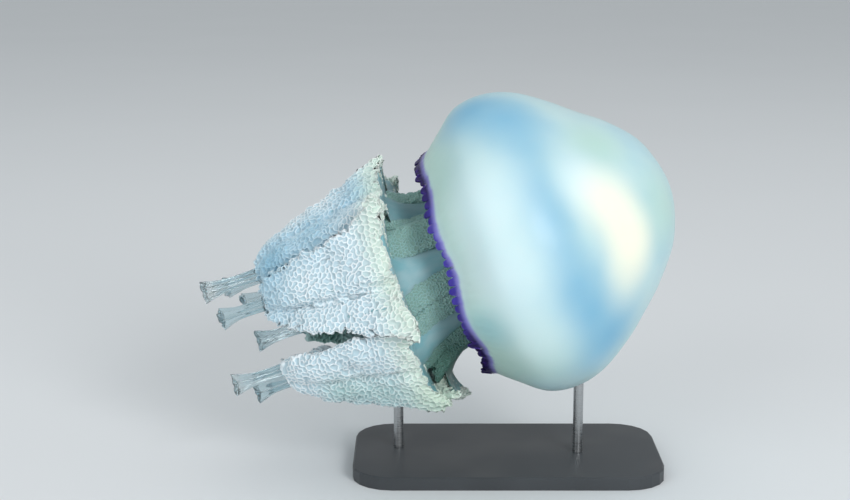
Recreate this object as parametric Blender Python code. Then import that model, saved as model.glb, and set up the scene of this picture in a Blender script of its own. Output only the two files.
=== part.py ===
"""Barrel jellyfish (Rhizostoma pulmo) at life size, swimming, on a plain display stand.

The animal is modelled upright about its own axis: the centre of the bell's rim is the origin, the
apex is on +Z, and angles round the axis are measured from +X towards +Y. An empty then carries it
in its swimming pose over the stand. Lengths are in metres.
"""

import math

import bmesh
import bpy
from mathutils import Matrix, Vector
from mathutils.bvhtree import BVHTree

MM = 0.001
SEAM = 0.3 * MM  # clearance between neighbouring pieces
SHARP_ANGLE = math.radians(50)

# Pose of the animal over the stand.
BODY_HEADING = math.radians(-1.7)  # the axis turned a little towards -Y
BODY_TILT = math.radians(70.8)  # the axis leaned over from upright
BODY_ROLL = math.radians(-100.8)  # the animal rolled about its own axis
RIM_CENTRE = Vector((-45.0, 4.0, 208.0)) * MM

# Bell: (radius, height) along the outside from the rim to the apex, and along the inside.
BELL_OUTSIDE = ((117, 0), (131, 17), (148, 41), (152, 70), (144, 100), (124, 131), (104, 155),
                (82, 180), (48, 206), (0, 218))
BELL_INSIDE = ((113, 0), (127, 25), (134, 56), (128, 90), (105, 120), (64, 148))
BELL_SEGMENTS = 36
OUTSIDE_STEPS = 17
INSIDE_STEPS = 9
APEX_LEAN = 6.5 * MM  # how far the apex leans away from +Y
LEAN_START = 135.0 * MM

# Lappets, the short lobes that hang from the rim, in eight groups.
LAPPETS = 80
LAPPETS_IN_GROUP = 10
LAPPET_ROOT = Vector((115.2, -1.1)) * MM
LAPPET_TIP = Vector((109.5, -13.0)) * MM
LAPPET_NOTCH = 0.45  # share of a lappet's length where it parts from the next
SENSE_NOTCH = 0.15  # the same at the sense organ between two groups
LAPPET_THICKNESS = 2.4 * MM

# Stalk (manubrium): (radius, height) from its foot to the roof of the bell.
STALK_SIDE = ((72, -6), (72, 4), (63, 28), (53, 66), (50, 108), (60, 147.7))
STALK_SEGMENTS = 32
STALK_STEPS = 9
STALK_LOBES = 4
STALK_LOBE_DEPTH = 0.07

# The eight arms: the angles in degrees between which each lies, the heights at which its frills
# start and end, how far its tip is swept sideways and tucked in, its relative width, and the
# length of its club. Lengths are in mm.
ARM_EDGES = (-38.0, 18.0, 62.0, 106.0, 150.0, 194.0, 237.0, 280.0, 322.0)
ARM_TOP = (-57.0, -64.0, -50.0, -52.0, -50.0, -51.0, -50.0, -50.0)
ARM_END = (-195.0, -197.0, -190.0, -192.0, -188.0, -193.0, -193.0, -196.0)
ARM_SWEEP = (-19.0, -5.0, -6.0, -4.0, 2.0, 4.0, -3.0, -2.0)
ARM_TUCK = (0.0, -5.0, 8.0, 4.0, 2.0, 0.0, 3.0, -7.0)
ARM_WIDTH = (1.18, 1.12, 1.02, 1.0, 1.0, 1.02, 1.0, 1.03)
CLUB_LENGTH = (44.0, 50.0, 48.0, 46.0, 47.0, 42.0, 48.0, 56.0)
DROOP = 6.0 * MM  # how far the arms hang towards +Y below the stalk
DROOP_END = -60.0 * MM

# Upper arm, smooth: (share of the way down it, inner radius, outer radius). Half of its outline,
# from its outer face inwards, is (distance in from the outer radius, less than the half width by).
UPPER_ARM = ((0.0, 31, 73), (0.32, 33, 77), (0.7, 44, 86), (1.0, 60, 96))
UPPER_ARM_FACE = ((0, 11), (4, 3), (12, 0))
UPPER_ARM_BACK = (14, 2)  # the same from its inner radius outwards
UPPER_ARM_TOP = -6.3 * MM
UPPER_HALF_WIDTH = 17.5 * MM
UPPER_INNER_HALF_WIDTH = 10.5 * MM

# Frilled arm: (share of its length, outer radius, half width, depth towards the axis).
FRILLED_ARM = ((0.0, 120, 44, 50), (0.11, 119, 43, 53), (0.29, 112, 39, 53), (0.51, 104, 35, 49),
               (0.73, 94.5, 30, 43), (0.89, 84, 23, 34), (1.0, 72, 12, 22))
FRILLED_STEPS = 10
ARM_SEAM = 0.7 * MM
GROOVE = 5.0 * MM  # depth of the groove between the two outer wings
INNER_WING = 4.5 * MM  # half thickness of the wing that faces the axis
EAR_RISE = 6.0 * MM  # how far the upper corners of the wings stand up
EAR_FLARE = 8.0 * MM  # how far out
EAR_SPREAD = 12.0 * MM  # how far apart, where there is room
EAR_LENGTH = 26.0 * MM
ARM_CLEARANCE = 0.7 * MM  # from the middle of the room between two arms
CAP_INSET = 0.55

# Club at the end of each arm: (share of its length, radius of its three edges in mm).
CLUB_SIDE = ((0.0, 7.6), (0.25, 7.0), (0.6, 7.4), (0.82, 9.8), (1.0, 13.0))
CLUB_POINTS = 12
CLUB_HOLLOW = 0.52  # radius of the flats between the edges, as a share of the edges'
CLUB_DISH = 3.5 * MM  # how far the middle of the club's end is sunk
CLUB_DISH_WIDTH = 0.4

# Scapulets, the two frilled crests on each arm's shoulder: (height, outer radius, inner radius).
SCAPULET_SIDE = ((-9, 79, 70), (-16, 86, 62), (-28, 91, 60), (-40, 93, 62), (-45.5, 88, 70))
SCAPULET_MAX = 17.0 * MM  # greatest thickness
SCAPULET_CLEARANCE = 1.0 * MM  # from the middle of the room between two arms
SCAPULET_ROUND = 0.3  # share of its thickness that its outer edge is rounded by

# Stand.
BASE_SIZE = Vector((310.0, 170.0, 13.0)) * MM
BASE_CORNER = 40.0 * MM
BASE_EDGE = 1.5 * MM
ROD_RADIUS = 5.0 * MM
BELL_ROD_AT = Vector((72.0, -7.0)) * MM
ARMS_ROD_AT = Vector((-110.0, 9.0)) * MM
ROD_SIDES = 20


def clear_scene():
    for old in list(bpy.data.objects):
        bpy.data.objects.remove(old, do_unlink=True)


def material(name, colour, roughness, metallic=0.0):
    made = bpy.data.materials.new(name)
    made.use_nodes = True
    shader = made.node_tree.nodes["Principled BSDF"]
    shader.inputs["Base Color"].default_value = (*colour, 1.0)
    shader.inputs["Roughness"].default_value = roughness
    shader.inputs["Metallic"].default_value = metallic
    return made


def finish(bm, name, skin, parent=None):
    """Turns a bmesh into a named, smooth-shaded object."""
    bmesh.ops.recalc_face_normals(bm, faces=bm.faces[:])
    mesh = bpy.data.meshes.new(name)
    bm.to_mesh(mesh)
    bm.free()
    mesh.shade_smooth()
    mesh.set_sharp_from_angle(angle=SHARP_ANGLE)
    made = bpy.data.objects.new(name, mesh)
    made.data.materials.append(skin)
    made.parent = parent
    bpy.context.scene.collection.objects.link(made)
    return made


def smooth_curve(points, steps):
    """`steps` intervals along a Catmull-Rom curve through the points, in their own units."""
    knots = [Vector(point) for point in points]
    knots = [2 * knots[0] - knots[1], *knots, 2 * knots[-1] - knots[-2]]
    spans = len(points) - 1
    curve = []
    for step in range(steps + 1):
        place = step / steps * spans
        span = min(int(place), spans - 1)
        t = place - span
        a, b, c, d = knots[span:span + 4]
        curve.append(0.5 * (2 * b + (c - a) * t + (2 * a - 5 * b + 4 * c - d) * t**2
                            + (3 * b - a - 3 * c + d) * t**3))
    return curve


def smoothstep(value):
    value = min(max(value, 0.0), 1.0)
    return value * value * (3 - 2 * value)


def spin_profile(bm, profile, segments):
    """Turns a (radius, height) outline, in mm, one full turn about the axis."""
    verts = [bm.verts.new((radius * MM, 0, height * MM)) for radius, height in profile]
    edges = [bm.edges.new(pair) for pair in zip(verts, verts[1:])]
    bmesh.ops.spin(bm, geom=verts + edges, cent=(0, 0, 0), axis=(0, 0, 1), angle=math.tau,
                   steps=segments, use_merge=True)
    bmesh.ops.remove_doubles(bm, verts=bm.verts[:], dist=0.01 * MM)


def extrude_through(bm, rings):
    """A solid that starts as a face on the first ring and is extruded from ring to ring."""
    start = cap = bm.faces.new([bm.verts.new(point) for point in rings[0]])
    for ring in rings[1:]:
        moved = bmesh.ops.extrude_face_region(bm, geom=[cap])["geom"]
        if cap is not start:
            bmesh.ops.delete(bm, geom=[cap], context="FACES_ONLY")
        cap = next(item for item in moved if isinstance(item, bmesh.types.BMFace))
        for vert, point in zip(cap.verts, ring):
            vert.co = point


def bell(skin, body):
    bm = bmesh.new()
    outside = smooth_curve(BELL_OUTSIDE, OUTSIDE_STEPS)
    inside = smooth_curve(BELL_INSIDE, INSIDE_STEPS)
    roof = Vector((0, BELL_INSIDE[-1][1]))
    spin_profile(bm, [*reversed(outside), *inside, roof], BELL_SEGMENTS)
    top = BELL_OUTSIDE[-1][1] * MM
    for vert in bm.verts:
        vert.co.y -= APEX_LEAN * smoothstep((vert.co.z - LEAN_START) / (top - LEAN_START))
    return finish(bm, "bell", skin, body)


def bell_lappets(skin, body):
    """A ring of lobes. Each lobe has a notch on either side and two corners at its tip."""
    bm = bmesh.new()
    columns = []
    for lappet in range(LAPPETS):
        notch = SENSE_NOTCH if lappet % LAPPETS_IN_GROUP == 0 else LAPPET_NOTCH
        for share, length in ((0.0, notch), (0.3, 1.0), (0.7, 1.0)):
            columns.append((math.tau * (lappet + share) / LAPPETS, length))
    root = [bm.verts.new((LAPPET_ROOT.x * math.cos(angle), LAPPET_ROOT.x * math.sin(angle),
                          LAPPET_ROOT.y)) for angle, _ in columns]
    ring = [bm.edges.new(pair) for pair in zip(root, root[1:] + root[:1])]
    new = bmesh.ops.extrude_edge_only(bm, edges=ring)["geom"]
    hem = [item for item in new if isinstance(item, bmesh.types.BMVert)]
    for vert in hem:
        angle = math.atan2(vert.co.y, vert.co.x) % math.tau
        length = min(columns, key=lambda column: abs(column[0] - angle))[1]
        radius, height = LAPPET_ROOT.lerp(LAPPET_TIP, length)
        vert.co = (radius * math.cos(angle), radius * math.sin(angle), height)
    made = finish(bm, "bell_lappets", skin, body)
    shell = made.modifiers.new("thickness", "SOLIDIFY")
    shell.thickness = LAPPET_THICKNESS
    shell.offset = 0.0
    return made


def stalk(skin, body):
    bm = bmesh.new()
    side = smooth_curve(STALK_SIDE, STALK_STEPS)
    foot = Vector((0, STALK_SIDE[0][1]))
    roof = Vector((0, STALK_SIDE[-1][1]))
    spin_profile(bm, [foot, *side, roof], STALK_SEGMENTS)
    for vert in bm.verts:
        angle = math.atan2(vert.co.y, vert.co.x)
        lobe = 1 - STALK_LOBE_DEPTH * (1 + math.cos(STALK_LOBES * angle)) * smoothstep(
            vert.co.z / (40 * MM))
        vert.co.x *= lobe
        vert.co.y *= lobe
    return finish(bm, "stalk", skin, body)


def arm_place(index):
    """Turns an arm's own frame (outwards, across, up) to its place round the axis."""
    middle = (ARM_EDGES[index] + ARM_EDGES[index + 1]) / 2
    return Matrix.Rotation(math.radians(middle), 4, "Z")


def arm_space(index, radius):
    """Half of the room across an arm's sector at a radius."""
    return radius * math.tan(math.radians(ARM_EDGES[index + 1] - ARM_EDGES[index]) / 2)


def droop(point):
    hang = DROOP * smoothstep(point.z / DROOP_END)
    return Vector((point.x, point.y + hang, point.z))


def in_place(index, points):
    place = arm_place(index)
    return [droop(place @ Vector(point)) for point in points]


def upper_arm(index, skin, body):
    bm = bmesh.new()
    bottom = ARM_TOP[index] * MM + ARM_SEAM
    rings = []
    for share, inner, outer in UPPER_ARM:
        height = UPPER_ARM_TOP + (bottom - UPPER_ARM_TOP) * share
        side = [(outer - deep, less) for deep, less in UPPER_ARM_FACE]
        side.append((inner + UPPER_ARM_BACK[0], UPPER_ARM_BACK[1]))
        half = [(radius * MM, UPPER_HALF_WIDTH - less * MM, height) for radius, less in side]
        half.append((inner * MM, UPPER_INNER_HALF_WIDTH, height))
        rings.append(in_place(index, half + [(x, -y, z) for x, y, z in reversed(half)]))
    extrude_through(bm, rings)
    return finish(bm, f"upper_arm_{index + 1}", skin, body)


def smooth_rows(rows, steps):
    """smooth_curve for rows of four numbers."""
    left = smooth_curve([row[:2] for row in rows], steps)
    right = smooth_curve([row[2:] for row in rows], steps)
    return [(*a, *b) for a, b in zip(left, right)]


def frilled_stations(index):
    """(height, outer radius, half width, depth, sweep) down one frilled arm, in metres."""
    top, end = ARM_TOP[index], ARM_END[index]
    for share, outer, half, depth in smooth_rows(FRILLED_ARM, FRILLED_STEPS):
        height = top + (end - top) * share
        outer -= ARM_TUCK[index] * share**2
        sweep = ARM_SWEEP[index] * share**2
        yield [size * MM for size in (height, outer, half * ARM_WIDTH[index], depth, sweep)]


def wing_outline(index, outer, half, depth, near_top):
    """One ring of the three-winged arm: from its groove round its wings and back."""
    corner = outer - 5 * MM + EAR_FLARE * near_top
    back = corner - 7 * MM
    spread = half + EAR_SPREAD * near_top
    room = arm_space(index, 1.0)
    side = [(outer, 0.38 * half), (outer - 1 * MM + EAR_FLARE * near_top / 3, 0.74 * half),
            (corner, min(spread, corner * room - ARM_CLEARANCE)),
            (back, min(0.92 * spread, back * room - ARM_CLEARANCE)),
            (outer - 23 * MM, max(0.45 * half, INNER_WING)), (outer - depth, INNER_WING)]
    groove = GROOVE * min(1.0, half / (20 * MM))
    return [(outer - groove, 0.0), *side, *[(x, -y) for x, y in reversed(side)]]


def frilled_arm(index, skin, body):
    bm = bmesh.new()
    top = ARM_TOP[index] * MM
    rings = []
    for height, outer, half, depth, sweep in frilled_stations(index):
        near_top = 1 - smoothstep((top - height) / EAR_LENGTH)
        outline = wing_outline(index, outer, half, depth, near_top)
        if not rings:
            centre = outer - depth / 2
            flat = [(centre + (x - centre) * CAP_INSET, y * CAP_INSET, height)
                    for x, y in outline]
            rings.append(in_place(index, flat))
        rise = EAR_RISE * near_top
        ring = [(x, y + sweep, height + rise * min(1, abs(y) / half)**4) for x, y in outline]
        rings.append(in_place(index, ring))
    extrude_through(bm, rings)
    return finish(bm, f"frilled_arm_{index + 1}", skin, body)


def club(index, skin, body):
    bm = bmesh.new()
    height, outer, _, depth, sweep = list(frilled_stations(index))[-1]
    root = Vector((outer - depth / 2, sweep, height - SEAM))
    length = CLUB_LENGTH[index] * MM
    rings = []
    for share, edge in CLUB_SIDE:
        ring = []
        for point in range(CLUB_POINTS):
            angle = math.tau * point / CLUB_POINTS
            ridge = (1 + math.cos(3 * angle)) / 2
            radius = edge * MM * (CLUB_HOLLOW + (1 - CLUB_HOLLOW) * ridge)
            ring.append(root + Vector((radius * math.cos(angle), radius * math.sin(angle),
                                       -length * share)))
        rings.append(ring)
    dish = root - Vector((0, 0, length - CLUB_DISH))
    rings.append([dish.lerp(Vector((x, y, dish.z)), CLUB_DISH_WIDTH) for x, y, _ in rings[-1]])
    extrude_through(bm, [in_place(index, ring) for ring in rings])
    return finish(bm, f"club_{index + 1}", skin, body)


def scapulet(index, side, skin, body):
    """A crest against one side of an upper arm. `side` is 1 or -1."""
    bm = bmesh.new()
    near = UPPER_HALF_WIDTH + SEAM

    def far(radius):
        return min(near + SCAPULET_MAX, arm_space(index, radius) - SCAPULET_CLEARANCE)

    rings = []
    for height, outer, inner in SCAPULET_SIDE:
        inner, outer = inner * MM, outer * MM
        soft = SCAPULET_ROUND * (far(outer) - near)
        ring = [(inner, near), (outer - soft, near), (outer, near + soft),
                (outer, far(outer) - soft), (outer - soft, far(outer - soft)),
                (inner, far(inner))]
        rings.append(in_place(index, [(x, side * y, height * MM) for x, y in ring]))
    extrude_through(bm, rings)
    letter = "a" if side < 0 else "b"
    return finish(bm, f"scapulet_{index + 1}{letter}", skin, body)


def stand_base(skin):
    bm = bmesh.new()
    bmesh.ops.create_grid(bm, x_segments=1, y_segments=1, size=0.5)
    bmesh.ops.scale(bm, vec=(BASE_SIZE.x, BASE_SIZE.y, 1), verts=bm.verts[:])
    bmesh.ops.bevel(bm, geom=bm.verts[:], offset=BASE_CORNER, segments=5, profile=0.5,
                    affect="VERTICES", material=-1)
    top = bmesh.ops.extrude_face_region(bm, geom=bm.faces[:])["geom"]
    lifted = [item for item in top if isinstance(item, bmesh.types.BMVert)]
    bmesh.ops.translate(bm, vec=(0, 0, BASE_SIZE.z), verts=lifted)
    rim = [edge for edge in bm.edges if all(vert.co.z > BASE_SIZE.z / 2 for vert in edge.verts)]
    bmesh.ops.bevel(bm, geom=rim, offset=BASE_EDGE, segments=1, profile=0.5, affect="EDGES",
                    material=-1)
    return finish(bm, "stand_base", skin)


def gap_above(target, at):
    """Height of the lowest point of an object over a rod's end at a place on the base."""
    tree = BVHTree.FromObject(target, bpy.context.evaluated_depsgraph_get())
    into = target.matrix_world.inverted()
    up = (into.to_3x3() @ Vector((0, 0, 1))).normalized()
    heights = []
    for side in range(ROD_SIDES + 1):
        reach = ROD_RADIUS if side < ROD_SIDES else 0.0
        angle = math.tau * side / ROD_SIDES
        start = Vector((at.x + reach * math.cos(angle), at.y + reach * math.sin(angle), 0))
        hit = tree.ray_cast(into @ start, up)[0]
        if hit is not None:
            heights.append((target.matrix_world @ hit).z)
    return min(heights)


def stand_rod(name, at, target, skin):
    """A rod from the base up to the piece that rests on it."""
    bottom = BASE_SIZE.z + SEAM
    height = gap_above(target, at) - SEAM - bottom
    bm = bmesh.new()
    bmesh.ops.create_cone(bm, cap_ends=True, segments=ROD_SIDES, radius1=ROD_RADIUS,
                          radius2=ROD_RADIUS, depth=height)
    bmesh.ops.translate(bm, vec=(at.x, at.y, bottom + height / 2), verts=bm.verts[:])
    return finish(bm, name, skin)


def swimming_body():
    """The empty that carries the whole animal in its pose."""
    body = bpy.data.objects.new("swimming_body", None)
    body.matrix_world = (Matrix.Translation(RIM_CENTRE) @ Matrix.Rotation(BODY_HEADING, 4, "Z")
                         @ Matrix.Rotation(BODY_TILT, 4, "Y") @ Matrix.Rotation(BODY_ROLL, 4, "Z"))
    bpy.context.scene.collection.objects.link(body)
    return body


def main():
    clear_scene()
    jelly = material("milky_jelly", (0.62, 0.76, 0.80), 0.25)
    violet = material("violet_margin", (0.05, 0.02, 0.30), 0.35)
    clear = material("clear_jelly", (0.30, 0.45, 0.50), 0.25)
    frill = material("white_frill", (0.80, 0.86, 0.82), 0.5)
    crest = material("olive_frill", (0.40, 0.46, 0.42), 0.5)
    base = material("painted_base", (0.35, 0.36, 0.37), 0.5)
    steel = material("steel_rod", (0.60, 0.60, 0.60), 0.3, 1.0)

    body = swimming_body()
    dome = bell(jelly, body)
    bell_lappets(violet, body)
    stalk(clear, body)
    frilled = []
    for index in range(len(ARM_SWEEP)):
        upper_arm(index, clear, body)
        scapulet(index, -1, crest, body)
        scapulet(index, 1, crest, body)
        frilled.append(frilled_arm(index, frill, body))
        club(index, clear, body)
    bpy.context.view_layer.update()
    stand_base(base)
    stand_rod("stand_rod_bell", BELL_ROD_AT, dome, steel)
    stand_rod("stand_rod_arms", ARMS_ROD_AT, frilled[2], steel)


main()
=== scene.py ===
"""Barrel jellyfish (Rhizostoma pulmo) at life size, swimming, on a plain display stand.

The animal is modelled upright about its own axis: the centre of the bell's rim is the origin, the
apex is on +Z, and angles round the axis are measured from +X towards +Y. POSE then carries each
mesh to its place over the stand. Lengths are in metres. The tables of the animal's shape are in
millimetres.
"""

import math
import random

import bmesh
import bpy
from bpy.props import FloatProperty, FloatVectorProperty, IntProperty, PointerProperty
from mathutils import Matrix, Vector, noise


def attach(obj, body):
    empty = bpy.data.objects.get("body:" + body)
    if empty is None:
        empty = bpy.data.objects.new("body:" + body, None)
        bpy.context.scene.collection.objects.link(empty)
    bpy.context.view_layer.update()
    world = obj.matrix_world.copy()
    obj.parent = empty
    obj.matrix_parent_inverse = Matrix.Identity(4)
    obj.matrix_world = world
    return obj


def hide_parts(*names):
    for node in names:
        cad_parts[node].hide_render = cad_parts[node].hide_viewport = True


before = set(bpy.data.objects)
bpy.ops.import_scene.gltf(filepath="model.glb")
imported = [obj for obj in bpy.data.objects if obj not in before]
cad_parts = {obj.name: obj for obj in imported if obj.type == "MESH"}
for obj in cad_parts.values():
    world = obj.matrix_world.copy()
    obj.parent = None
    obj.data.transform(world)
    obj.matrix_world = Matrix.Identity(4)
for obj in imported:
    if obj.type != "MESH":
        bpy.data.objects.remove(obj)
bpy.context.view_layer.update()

bl_info = {
    "name": "Barrel Jellyfish",
    "version": (1, 0, 0),
    "blender": (4, 5, 0),
    "location": "3D View > Sidebar > Jellyfish",
    "description": "Builds a life-size barrel jellyfish on a display stand, and its studio",
    "category": "Object",
}

MM = 0.001

# Pose of the animal over the stand.
RIM_CENTRE = Vector((-45.0, 4.0, 208.0)) * MM
POSE = Matrix.Translation(RIM_CENTRE)
for degrees, axis in ((-1.7, "Z"), (70.8, "Y"), (-100.8, "Z")):
    POSE @= Matrix.Rotation(math.radians(degrees), 4, axis)

# Bell: (radius, height) along the outside from the rim to the apex, then along the inside from
# the rim over the roof and down the stalk to its foot.
BELL_OUTSIDE = ((117, 0), (131, 17), (148, 41), (152, 70), (144, 100), (124, 131), (104, 155),
                (82, 180), (48, 206), (0, 218))
BELL_INSIDE = ((113, 0), (127, 25), (134, 56), (128, 90), (105, 120), (82, 138), (64, 146),
               (55, 138), (51, 122), (50, 106), (53, 66), (63, 28), (71, 8), (72, 0), (70, -4.5),
               (62, -6.3))
OUTSIDE_STEPS_PER_SPAN = 5
INSIDE_STEPS = 60
STALK_STARTS = 7  # index in BELL_INSIDE
STALK_FOOT = (52, 40, 26, 12, 0)  # radii over the closed foot of the stalk
POLE_REACH = 0.01 * MM  # distance over which vertices are merged into one at the two poles
OUTSIDE, LAPPET, INSIDE, STALK = range(4)  # kinds of vertex on the spun profile
APEX = 218 * MM
APEX_LEAN = 6.5 * MM
LEAN_START = 135 * MM
RIM_WAVES = ((8, 1.0, 0.9), (5, 0.6, 2.0))  # (swings round the bell, strength, phase)
RIM_REACH = 45 * MM  # height at which the rim's sway and waves end
FURROW_REACH = 26 * MM  # height at which the furrows over the lappets end
LUMPS = ((70 * MM, 1.0), (32 * MM, 0.5))  # (size, strength) of the bell's unevenness
STALK_LOBES = 4
STALK_LOBE_DEPTH = 0.07  # share of the stalk's radius
STALK_LOBES_FULL = 40 * MM  # height from which they are full
STALK_LOBES_END = (120 * MM, 140 * MM)  # heights between which they end
JOINT_REACH = (9 * MM, 82 * MM)  # (height, radius) round the stalk's foot of what is softened
JOINT_PASSES = 10
FLESH_LOOKS = MILKY, CLEAR, GLASSY = range(3)  # the flesh's materials

LAPPET_ROOT = Vector((115.2, -1.1))
LAPPET_TIP = Vector((109.5, -13.0))
LAPPET_THICKNESS = 2.4
LAPPET_SWELL = 0.25  # how much thicker its tip is
LAPPET_ROWS = (0.1, 0.28, 0.46, 0.64, 0.82, 0.95)  # shares of a lappet's length
LAPPET_END = 1.06  # the same at the middle of its round tip
LAPPETS_IN_GROUP = 10
LAPPET_COLUMNS = 6
LAPPET_LENGTHS = (0.66, 1.0)  # shares of the full length
LAPPET_LENGTH_SWAY = (0.12, 0.8)  # (share of the full length, turn from lappet to lappet)
LAPPET_CURLS = (-0.8 * MM, 2.4 * MM)  # how far tips turn out
LAPPET_BULGE = 0.55 * MM  # how far the middle of a tip stands out
LAPPET_ROUNDNESS = (3.0, 0.6)  # exponents of a lappet's round end
LAPPET_NOTCH = 0.42  # share of a lappet's length where it parts from the next
SENSE_NOTCH = 0.12  # the same at the sense organ between two groups

# The eight arms, as in the solids: sector edges in degrees, heights where the frills start and
# end, sideways sweep, tuck, relative width, and length of the club.
ARM_EDGES = (-38.0, 18.0, 62.0, 106.0, 150.0, 194.0, 237.0, 280.0, 322.0)
ARM_TOP = (-57.0, -64.0, -50.0, -52.0, -50.0, -51.0, -50.0, -50.0)
ARM_END = (-195.0, -197.0, -190.0, -192.0, -188.0, -193.0, -193.0, -196.0)
ARM_SWEEP = (-19.0, -5.0, -6.0, -4.0, 2.0, 4.0, -3.0, -2.0)
ARM_TUCK = (0.0, -5.0, 8.0, 4.0, 2.0, 0.0, 3.0, -7.0)
ARM_WIDTH = (1.18, 1.12, 1.02, 1.0, 1.0, 1.02, 1.0, 1.03)
# How far the edges of an arm's two wings stand out over the next arm's: (first side, second side).
ARM_LAP = ((8, 8), (-1, 2), (0, 0), (0, 0), (0, 0), (0, 0), (0, 0), (3, -5))
LAP_FULL = 30  # half width of an arm from which its laps are full
ARM_OVER = (7.0, 9.5, 0.0, 1.0, 0.0, 1.0, 0.0, 0.0)  # how far they reach over the next
# The groove down an arm's outer face: (place across, depth, step down on its second side).
ARM_GROOVE = ((9.0, 15.5, 7.5), (2.0, 7.0, 1.0), (-3.0, 8.0, 1.5), (0.0, 9.0, 0.0),
              (3.0, 9.0, 1.5), (-2.0, 8.0, 0.0), (2.0, 9.0, 1.0), (0.0, 7.0, 0.5))
GROOVE_FULL = 34  # half width of an arm from which its groove is full
CLUB_LENGTH = (44.0, 50.0, 48.0, 46.0, 47.0, 42.0, 48.0, 56.0)
ARMS = range(len(ARM_TOP))
DROOP = 6.0 * MM
DROOP_END = -60.0 * MM

# Upper arm: (share of the way down it, inner radius, outer radius); then half of its outline,
# outer side first, as (distance in from the outer radius, half width) and then as (distance out
# from the inner radius, half width).
UPPER_ARM = ((0.0, 31, 73), (0.32, 33, 77), (0.7, 44, 86), (1.0, 60, 96))
UPPER_ARM_OUTSIDE = ((0, 6.5), (4, 14.5), (12, 17.5))
UPPER_ARM_INSIDE = ((14, 15.5), (0, 10.5))
UPPER_ARM_CROWN = 0.6  # how far the middle of its outer side stands out
UPPER_ARM_TOP = -6.3
UPPER_ARM_STEPS = 8
ARM_ROOT = ((13, 31, 65), (3, 31, 69))  # (height, inner radius, outer radius) within the stalk
ARM_SEAM = 0.7  # height of the upper arm's foot over the top of the frilled arm
SHELF_FLARE = 0.16  # how far the upper arm's foot spreads towards the shelf
SHELF_FLARE_FROM = 0.7
# From the foot over the shelf: (share of the way out to its edge, height over it).
SHELF_ROWS = ((0.42, 0.9), (0.7, 0.6), (0.9, 0.2), (0.985, -0.4), (0.985, -2.0))

# Frilled arm: (share of its length, outer radius, half width, depth towards the axis).
FRILLED_ARM = ((0.0, 120, 44, 50), (0.11, 119, 43, 53), (0.29, 112, 39, 53), (0.51, 104, 35, 49),
               (0.73, 94.5, 30, 43), (0.89, 84, 23, 34), (1.0, 72, 12, 22))
# Half of an arm's outline: how far in from its outer radius, and shares of its half width.
WING_FACE = (1, 0.74)
WING_CORNER = 5
WING_EDGE = 7.0  # thickness of a wing's edge
WING_BACK = 0.92
WING_WAIST = (23, 0.45)
WING_INSIDE = 4.5  # half width of an arm where it is nearest the axis
# Beside the groove, on its two sides: (distance in, share of the step down, share of the groove's
# place across, share of the half width).
GROOVE_SIDES = (((1, 1, 1, 0.13), (0, 0.7, 1, 0.34)), ((0, 0, 0.6, -0.38), (0.5, 0, 1, -0.11)))
CENTRE_DEPTH = 0.45  # share of an arm's depth at which its middle lies
SHELF_INSET = 4.8  # of the flesh's shelf from the frill's outline
CORE_LAP = -4.0  # the flesh's wings end short of the frill's
CORE_WIDTH = 0.88  # share of a frilled arm's width that its flesh takes
CORE_STEPS = 14
CORE_SPAN = (0.03, 0.985)  # shares of a frilled arm's length between which its flesh lies
LIP_INSET = 5.0  # of the lip over the shelf from the frill's outline
LIP_RISE = 1.6
LIP_EDGE = 0.8  # share of the lip's rise that its edge takes
HIDDEN_RING = (0.55, -7, 5)  # (size, height over the lip, height over the end) of hidden rings
BORDER_WEIGHT = 0.5  # how much the last ring counts as an edge
MEET_SPREAD = 9.0  # how much wider arms grow to meet each other, down to MEET_LENGTH
MEET_LENGTH = 95.0
EAR_RISE = (8.0, 13.0, 12.0, 7.0, 6.0, 8.0, 7.0, 8.0)  # of the corners of an arm's top
EAR_CURVE = 4  # exponent of the rise towards the corners
EAR_FLARE = 8.0
EAR_SPREAD = 12.0
EAR_LENGTH = 26.0
ARM_CLEARANCE = 0.7
OUTLINE_SPANS = 15  # spans of a frilled arm's outline
WING_EDGES = ((4.5, 1.1), (7.5, 0.7))  # (place on the outline, reach) of a wing's edge and back

# Club: (share of its length, radius of its three edges).
CLUB_SIDE = ((0.0, 7.6), (0.25, 7.0), (0.6, 7.4), (0.82, 9.8), (1.0, 13.0))
CLUB_STEPS = 16
CLUB_START = 1.5  # height over the end of the frilled arm
CLUB_HOLLOW = 0.52  # radius between its edges, as a share of theirs
CLUB_EDGES = 3
CLUB_THINNING = 0.6  # how much more a flared edge is pinched
CLUB_WAVES = (0.5, 7)  # height and number of the waves round the club's end
CLUB_FLARE_FROM = 0.8  # share of its length from which its edges are thin
# Over the dished end of a club: (radius of its edges, height over its rim, how thin they are).
CLUB_END = ((12.3, -0.2, 1.0), (10.8, 0.6, 0.6), (7.5, 2.0, 0.6), (4.0, 3.1, 0.6))
CLUBS_FROM = -0.18  # height below which the arms' flesh is glassy

# Scapulet: (height, outer radius, inner radius), and the distances that bound it across the arm.
SCAPULET_SIDE = ((-4, 75, 58), (-16, 78, 58), (-30, 82, 60), (-44, 91, 62), (-57, 104, 66))
SCAPULET_NEAR = 17.8
SCAPULET_MAX = 26.0
SCAPULET_ROOT = 3.0  # how far its middle lies in from its near side
SCAPULET_BACK = 4.0  # how far it reaches into the arm
SCAPULET_LAP = (6.0, 1.0)  # how far side a and side b reach past the middle between arms
SCAPULET_LIFT = 1.6
SCAPULET_TOP = -4.5
SCAPULET_UNDER = 10.0  # how far they run below the top of the frilled arm
SCAPULET_ENDS = 0.8  # size of its two ends, as a share of its middle's
SCAPULET_CORNER = 0.35  # exponent of its rounded square outline
SCAPULET_POINTS = 16
SCAPULET_FOLD = 1.2 * MM
SCAPULET_FOLD_SEED = 9
SCAPULET_FULL = (4.0, 0.5)  # exponents of how its size swells from its ends to its middle

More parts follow.
